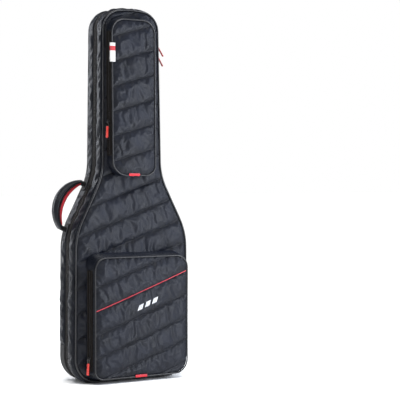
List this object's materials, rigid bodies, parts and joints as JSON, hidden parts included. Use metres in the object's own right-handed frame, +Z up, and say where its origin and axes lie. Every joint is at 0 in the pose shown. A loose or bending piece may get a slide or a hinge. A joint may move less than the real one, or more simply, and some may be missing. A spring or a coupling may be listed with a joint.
{
  "type": "padded gig bag",
  "caption": "Tall padded instrument bag with quilted panels, two zipped pockets, zipped lid, side handle, hang loop and backpack straps.",
  "frame": {"origin": "on the floor under the middle of the bag's lower edge, on the zip's line", "axes": "+Z up towards the head end, -Y out of the lid with the pockets, +X towards the lid's cloth hinge, away from the handle"},
  "size_m": [0.4608, 0.189, 1.2401],
  "materials": {
    "shell_nylon": "satin black-navy nylon, quilted",
    "wall_nylon": "satin nylon on foam",
    "zip_tape": "matt woven polyester tape with nylon coil",
    "piping": "extruded PVC piping",
    "lining": "short plush",
    "foam": "cloth-covered foam",
    "webbing": "woven polypropylene webbing",
    "strap_cloth": "nylon-covered padding",
    "red_cloth": "red woven nylon",
    "red_moulding": "soft red PVC",
    "label_white": "woven satin label",
    "thread": "grey embroidery thread",
    "guard_rubber": "ribbed moulded rubber",
    "black_metal": "black enamelled zinc",
    "dark_nickel": "dark nickel",
    "buckle_plastic": "moulded acetal",
    "handle_cloth": "air-mesh over foam"
  },
  "bodies": {
    "root": {"back_panel": "shell_nylon", "rear_gusset": "wall_nylon", "back_piping": "piping", "rear_zip_tape": "zip_tape", "hinge_cloth": "wall_nylon", "back_lining": "lining", "neck_cradle": "foam", "neck_strap": "webbing", "bottom_bumper": "foam", "handle_patches": "webbing", "handle_rivets": "dark_nickel", "anchor_band": "webbing", "strap_yoke": "strap_cloth", "yoke_label": "red_cloth", "webbing_anchors": "webbing", "corner_guard_left": "guard_rubber", "corner_guard_right": "guard_rubber", "lower_webbing_left": "webbing", "lower_webbing_right": "webbing"},
    "lid": {"front_panel": "shell_nylon", "lid_gusset": "wall_nylon", "front_piping": "piping", "lid_zip_tape": "zip_tape", "front_lining": "lining", "head_pocket_gusset": "wall_nylon", "head_pocket_face": "shell_nylon", "head_pocket_piping": "piping", "head_pocket_zip": "zip_tape", "head_pocket_tab": "red_cloth", "head_flag_label": "label_white", "accessory_pocket_gusset": "wall_nylon", "accessory_pocket_face": "shell_nylon", "accessory_pocket_piping": "piping", "accessory_pocket_zip": "zip_tape", "accessory_pocket_tab": "red_cloth", "accent_piping": "red_cloth", "embroidered_mark": "thread"},
    "main_zip_upper_slider": {"main_zip_upper_slider": "black_metal"},
    "main_zip_upper_pull": {"main_zip_upper_pull_ring": "dark_nickel", "main_zip_upper_pull_tab": "red_moulding"},
    "main_zip_lower_slider": {"main_zip_lower_slider": "black_metal"},
    "main_zip_lower_pull": {"main_zip_lower_pull_ring": "dark_nickel", "main_zip_lower_pull_tab": "red_moulding"},
    "head_zip_slider": {"head_zip_slider": "black_metal"},
    "head_zip_pull": {"head_zip_pull_ring": "dark_nickel", "head_zip_pull_tab": "red_moulding"},
    "accessory_zip_slider": {"accessory_zip_slider": "black_metal"},
    "accessory_zip_pull": {"accessory_zip_pull_ring": "dark_nickel", "accessory_zip_pull_tab": "red_moulding"},
    "handle": {"handle_pad": "handle_cloth", "handle_lining": "red_cloth", "handle_webbing": "webbing"},
    "strap_left": {"strap_pad_left": "strap_cloth", "strap_end_left": "webbing"},
    "buckle_left": {"buckle_left": "buckle_plastic"},
    "strap_right": {"strap_pad_right": "strap_cloth", "strap_end_right": "webbing"},
    "buckle_right": {"buckle_right": "buckle_plastic"},
    "hang_loop": {"hang_loop": "webbing"}
  },
  "joints": [
    {"name": "lid_hinge", "type": "hinge", "parent": "root", "child": "lid", "pos_m": [0.216, 0, 0.27], "axis": [0, 0, 1], "range_deg": [0, 150]},
    {"name": "main_zip_upper_slide", "type": "slide", "parent": "root", "child": "main_zip_upper_slider", "axis": [-0.013, 0, 0.9999], "range_m": [0, 0.034]},
    {"name": "main_zip_upper_pull_swing", "type": "hinge", "parent": "main_zip_upper_slider", "child": "main_zip_upper_pull", "pos_m": [0.11274, 0, 1.128], "axis": [0, -1, 0], "range_deg": [0, 75]},
    {"name": "main_zip_lower_slide", "type": "slide", "parent": "root", "child": "main_zip_lower_slider", "axis": [-0.013, 0, 0.9999], "range_m": [-0.33, 0]},
    {"name": "main_zip_lower_pull_swing", "type": "hinge", "parent": "main_zip_lower_slider", "child": "main_zip_lower_pull", "pos_m": [0.11315, 0, 1.097], "axis": [0, -1, 0], "range_deg": [0, 15]},
    {"name": "head_zip_slide", "type": "slide", "parent": "lid", "child": "head_zip_slider", "axis": [0, 0.0132, 0.9999], "range_m": [-0.1, 0.28]},
    {"name": "head_zip_pull_swing", "type": "hinge", "parent": "head_zip_slider", "child": "head_zip_pull", "pos_m": [-0.09556, -0.07313, 0.86216], "axis": [-0.3285, 0.9444, -0.0125], "range_deg": [0, 130]},
    {"name": "accessory_zip_slide", "type": "slide", "parent": "lid", "child": "accessory_zip_slider", "axis": [0, 0, 1], "range_m": [-0.02, 0.27]},
    {"name": "accessory_zip_pull_swing", "type": "hinge", "parent": "accessory_zip_slider", "child": "accessory_zip_pull", "pos_m": [-0.17137, -0.0851, 0.086], "axis": [-0.3881, 0.9216, 0], "range_deg": [0, 130]},
    {"name": "handle_swing", "type": "hinge", "parent": "root", "child": "handle", "pos_m": [-0.16661, 0.035, 0.57667], "axis": [-0.4472, 0, -0.8944], "range_deg": [-35, 35], "deforming": ["handle_webbing"]},
    {"name": "strap_left_swing", "type": "hinge", "parent": "root", "child": "strap_left", "pos_m": [0.052, 0.078, 0.6995], "axis": [1, 0, 0], "range_deg": [0, 10], "deforming": ["lower_webbing_left"]},
    {"name": "buckle_left_tilt", "type": "hinge", "parent": "strap_left", "child": "buckle_left", "pos_m": [0.11952, 0.0725, 0.23909], "axis": [0.9454, 0, 0.326], "range_deg": [0, 30]},
    {"name": "strap_right_swing", "type": "hinge", "parent": "root", "child": "strap_right", "pos_m": [-0.052, 0.078, 0.6995], "axis": [1, 0, 0], "range_deg": [0, 10], "deforming": ["lower_webbing_right"]},
    {"name": "buckle_right_tilt", "type": "hinge", "parent": "strap_right", "child": "buckle_right", "pos_m": [-0.11952, 0.0725, 0.23909], "axis": [0.9454, 0, -0.326], "range_deg": [0, 30]},
    {"name": "hang_loop_swing", "type": "hinge", "parent": "root", "child": "hang_loop", "pos_m": [0, 0.0683, 0.7336], "axis": [-1, 0, 0], "range_deg": [0, 85]}
  ]
}
